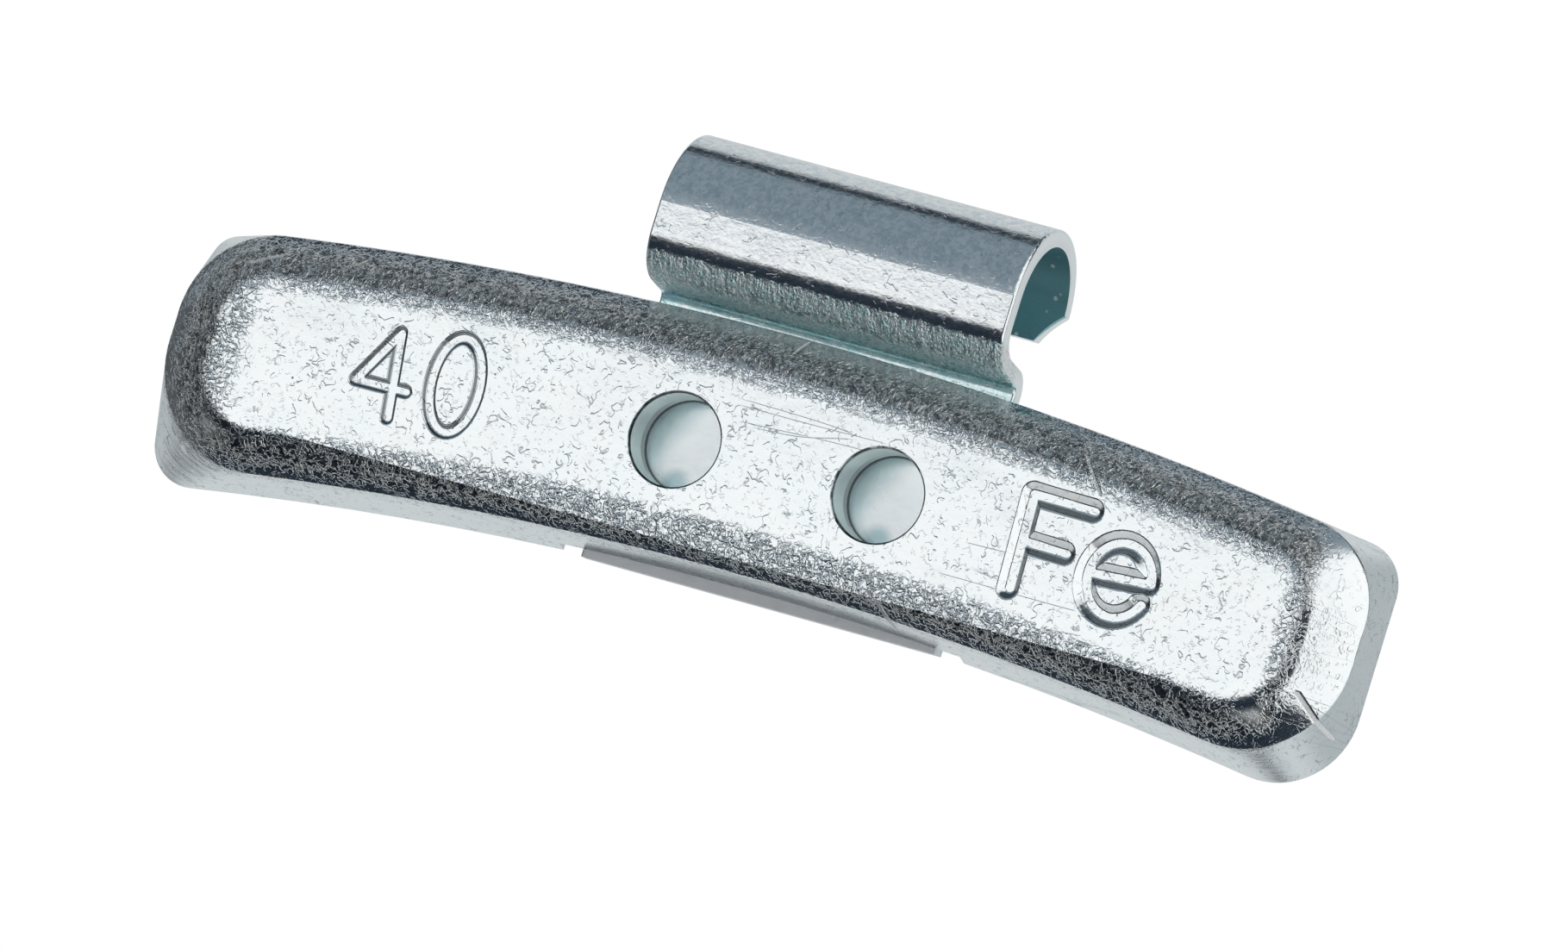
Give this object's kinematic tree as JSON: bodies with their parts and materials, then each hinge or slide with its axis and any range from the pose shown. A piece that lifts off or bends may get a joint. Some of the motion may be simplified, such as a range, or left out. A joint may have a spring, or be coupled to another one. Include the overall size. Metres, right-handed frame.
{
  "type": "wheel balance weight",
  "caption": "Clip-on balance weight for a car wheel: a curved steel bar with a bevelled face and blind holes, and a sprung steel clip that hooks over the rim's edge.",
  "frame": {"origin": "on the axis of the clip's round hook, halfway along the clip", "axes": "+X along the rim's edge, to the right as seen from the marked face; +Z away from the wheel's axle; the flat marked face looks along -Y"},
  "size_m": [0.0724, 0.0092, 0.0263],
  "materials": {
    "plated_body": "bright zinc plating over pressed steel, finely scratched",
    "plated_clip": "zinc plating with a blue-green passivated tint, smoother than the body"
  },
  "bodies": {
    "root": {"weight_body": "plated_body", "spring_clip": "plated_clip"}
  },
  "joints": []
}
